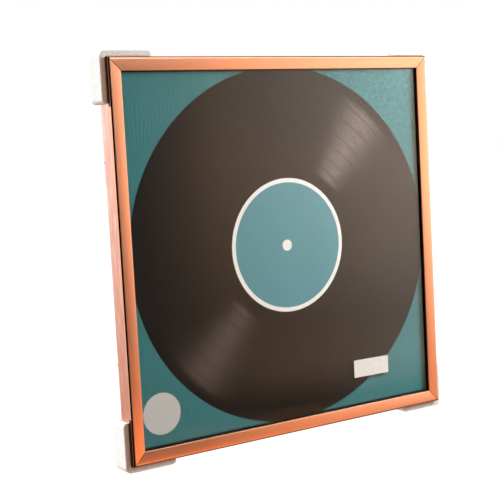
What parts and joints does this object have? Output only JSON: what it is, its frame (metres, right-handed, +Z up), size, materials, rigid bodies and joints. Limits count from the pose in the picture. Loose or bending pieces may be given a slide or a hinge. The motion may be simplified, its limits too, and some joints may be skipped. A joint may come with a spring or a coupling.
{
  "type": "vinyl record frame",
  "caption": "Square copper-finish wall frame for a record sleeve: mitred hollow rails, acrylic front, printed insert, turn-button back, hanging loop and foam corner guards.",
  "frame": {"origin": "under the middle of the part's box, level with the undersides of the lower guards", "axes": "+X to the right seen from the front, +Y from the front of the frame to its back, +Z up"},
  "size_m": [0.3386, 0.0238, 0.3386],
  "materials": {
    "copper_finish": "copper-coloured brushed metal, satin",
    "key_zinc": "die-cast, matt",
    "screw_steel": "zinc-plated",
    "film_clear": "clear thin film, slightly dimpled",
    "acrylic_clear": "clear polished sheet",
    "printed_card": "print on coated card",
    "filler_cardboard": "corrugated board",
    "board_hardboard": "hardboard, smooth side out",
    "sticker_paper": "bare white paper label",
    "hanger_steel": "bright plated",
    "button_steel": "zinc-plated strip",
    "guard_foam": "white beaded foam"
  },
  "bodies": {
    "frame": {"rail_top": "copper_finish", "rail_bottom": "copper_finish", "rail_left": "copper_finish", "rail_right": "copper_finish", "corner_key_bottom_left": "key_zinc", "corner_key_top_left": "key_zinc", "corner_key_top_right": "key_zinc", "corner_key_bottom_right": "key_zinc", "corner_screws": "screw_steel", "protective_film_front": "film_clear", "acrylic_glazing": "acrylic_clear", "protective_film_back": "film_clear", "printed_insert": "printed_card", "filler_card_1": "filler_cardboard", "filler_card_2": "filler_cardboard", "backing_board": "board_hardboard", "bare_sticker": "sticker_paper", "button_screws": "screw_steel", "hanger_strap": "hanger_steel", "hanger_rivet": "hanger_steel"},
    "hanger_loop": {"hanger_loop": "hanger_steel"},
    "turn_button_bottom_left": {"turn_button_bottom_left": "button_steel"},
    "turn_button_bottom_right": {"turn_button_bottom_right": "button_steel"},
    "turn_button_top_left": {"turn_button_top_left": "button_steel"},
    "turn_button_top_right": {"turn_button_top_right": "button_steel"},
    "turn_button_left_upper": {"turn_button_left_upper": "button_steel"},
    "turn_button_left_lower": {"turn_button_left_lower": "button_steel"},
    "turn_button_right_upper": {"turn_button_right_upper": "button_steel"},
    "turn_button_right_lower": {"turn_button_right_lower": "button_steel"},
    "corner_guard_bottom_left": {"corner_guard_bottom_left": "guard_foam"},
    "corner_guard_top_left": {"corner_guard_top_left": "guard_foam"},
    "corner_guard_top_right": {"corner_guard_top_right": "guard_foam"},
    "corner_guard_bottom_right": {"corner_guard_bottom_right": "guard_foam"}
  },
  "joints": [
    {"name": "bottom_left_button_turn", "type": "hinge", "parent": "frame", "child": "turn_button_bottom_left", "pos_m": [-0.082, 0.0068, 0.0081], "axis": [0, 1, 0], "continuous": true},
    {"name": "bottom_right_button_turn", "type": "hinge", "parent": "frame", "child": "turn_button_bottom_right", "pos_m": [0.082, 0.0068, 0.0081], "axis": [0, 1, 0], "continuous": true},
    {"name": "top_left_button_turn", "type": "hinge", "parent": "frame", "child": "turn_button_top_left", "pos_m": [-0.082, 0.0068, 0.3305], "axis": [0, 1, 0], "continuous": true},
    {"name": "top_right_button_turn", "type": "hinge", "parent": "frame", "child": "turn_button_top_right", "pos_m": [0.082, 0.0068, 0.3305], "axis": [0, 1, 0], "continuous": true},
    {"name": "left_upper_button_turn", "type": "hinge", "parent": "frame", "child": "turn_button_left_upper", "pos_m": [-0.1612, 0.0068, 0.2513], "axis": [0, 1, 0], "continuous": true},
    {"name": "left_lower_button_turn", "type": "hinge", "parent": "frame", "child": "turn_button_left_lower", "pos_m": [-0.1612, 0.0068, 0.0873], "axis": [0, 1, 0], "continuous": true},
    {"name": "right_upper_button_turn", "type": "hinge", "parent": "frame", "child": "turn_button_right_upper", "pos_m": [0.1612, 0.0068, 0.2513], "axis": [0, 1, 0], "continuous": true},
    {"name": "right_lower_button_turn", "type": "hinge", "parent": "frame", "child": "turn_button_right_lower", "pos_m": [0.1612, 0.0068, 0.0873], "axis": [0, 1, 0], "continuous": true},
    {"name": "hanger_loop_swing", "type": "hinge", "parent": "frame", "child": "hanger_loop", "pos_m": [0, 0.0079, 0.2933], "axis": [1, 0, 0], "range_deg": [0, 180]},
    {"name": "bottom_left_guard_slide", "type": "slide", "parent": "frame", "child": "corner_guard_bottom_left", "axis": [-0.7071, 0, -0.7071], "range_m": [0, 0.06]},
    {"name": "top_left_guard_slide", "type": "slide", "parent": "frame", "child": "corner_guard_top_left", "axis": [-0.7071, 0, 0.7071], "range_m": [0, 0.06]},
    {"name": "top_right_guard_slide", "type": "slide", "parent": "frame", "child": "corner_guard_top_right", "axis": [0.7071, 0, 0.7071], "range_m": [0, 0.06]},
    {"name": "bottom_right_guard_slide", "type": "slide", "parent": "frame", "child": "corner_guard_bottom_right", "axis": [0.7071, 0, -0.7071], "range_m": [0, 0.06]}
  ]
}
